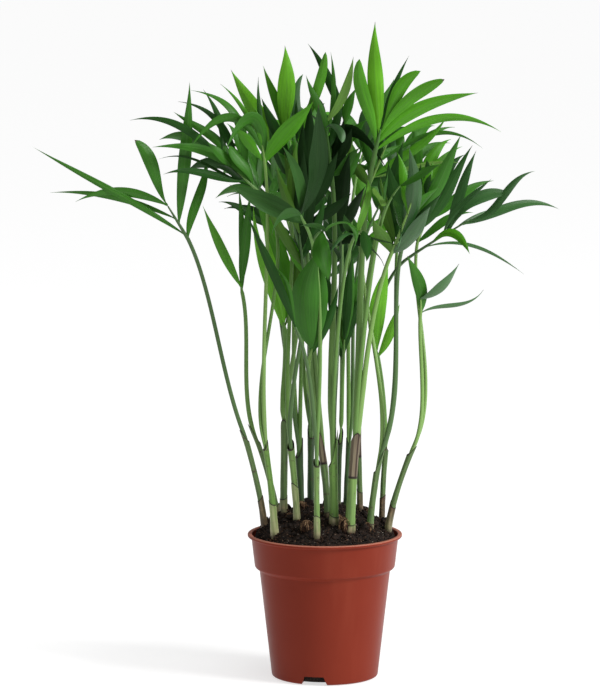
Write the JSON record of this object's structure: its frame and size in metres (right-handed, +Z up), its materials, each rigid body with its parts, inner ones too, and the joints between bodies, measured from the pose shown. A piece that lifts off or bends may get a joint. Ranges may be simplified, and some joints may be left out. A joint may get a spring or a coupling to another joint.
{
  "type": "potted parlour palm",
  "caption": "Young parlour palm: a clump of slim sheathed stems with feathery fronds, growing from a mound of soil in a round plastic nursery pot.",
  "frame": {"origin": "centre of the pot's underside, on the surface it stands on", "axes": "+Z up along the pot's axis; +X to the plant's right and -Y towards the viewer of its front"},
  "size_m": [0.4008, 0.3803, 0.5098],
  "materials": {
    "pot_plastic": "thin terracotta-brown plastic with a soft sheen",
    "soil": "dark moist peat mix with crumbs, fibres and pale grains",
    "stem_sheath": "smooth pale green leaf sheaths, brown and papery in places",
    "frond": "satin green leaflets with fine lengthwise veins"
  },
  "bodies": {
    "root": {"pot": "pot_plastic", "soil": "soil", "stem_01": "stem_sheath", "stem_02": "stem_sheath", "stem_03": "stem_sheath", "stem_04": "stem_sheath", "stem_05": "stem_sheath", "stem_06": "stem_sheath", "stem_07": "stem_sheath", "stem_08": "stem_sheath", "stem_09": "stem_sheath", "stem_10": "stem_sheath", "stem_11": "stem_sheath", "stem_12": "stem_sheath", "stem_13": "stem_sheath", "stem_14": "stem_sheath", "stem_15": "stem_sheath", "stem_16": "stem_sheath", "stem_17": "stem_sheath", "frond_01a": "frond", "frond_02a": "frond", "frond_02b": "frond", "frond_03a": "frond", "frond_04a": "frond", "frond_04b": "frond", "frond_05a": "frond", "frond_05b": "frond", "frond_06a": "frond", "frond_06b": "frond", "frond_06c": "frond", "frond_07a": "frond", "frond_07b": "frond", "frond_07c": "frond", "frond_08a": "frond", "frond_08b": "frond", "frond_08c": "frond", "frond_09a": "frond", "frond_09b": "frond", "frond_10a": "frond", "frond_10b": "frond", "frond_10c": "frond", "frond_11a": "frond", "frond_11b": "frond", "frond_12a": "frond", "frond_12b": "frond", "frond_12c": "frond", "frond_13a": "frond", "frond_13b": "frond", "frond_14a": "frond", "frond_14b": "frond", "frond_15a": "frond", "frond_15b": "frond", "frond_16a": "frond", "frond_16b": "frond", "frond_17a": "frond", "frond_17b": "frond"}
  },
  "joints": []
}
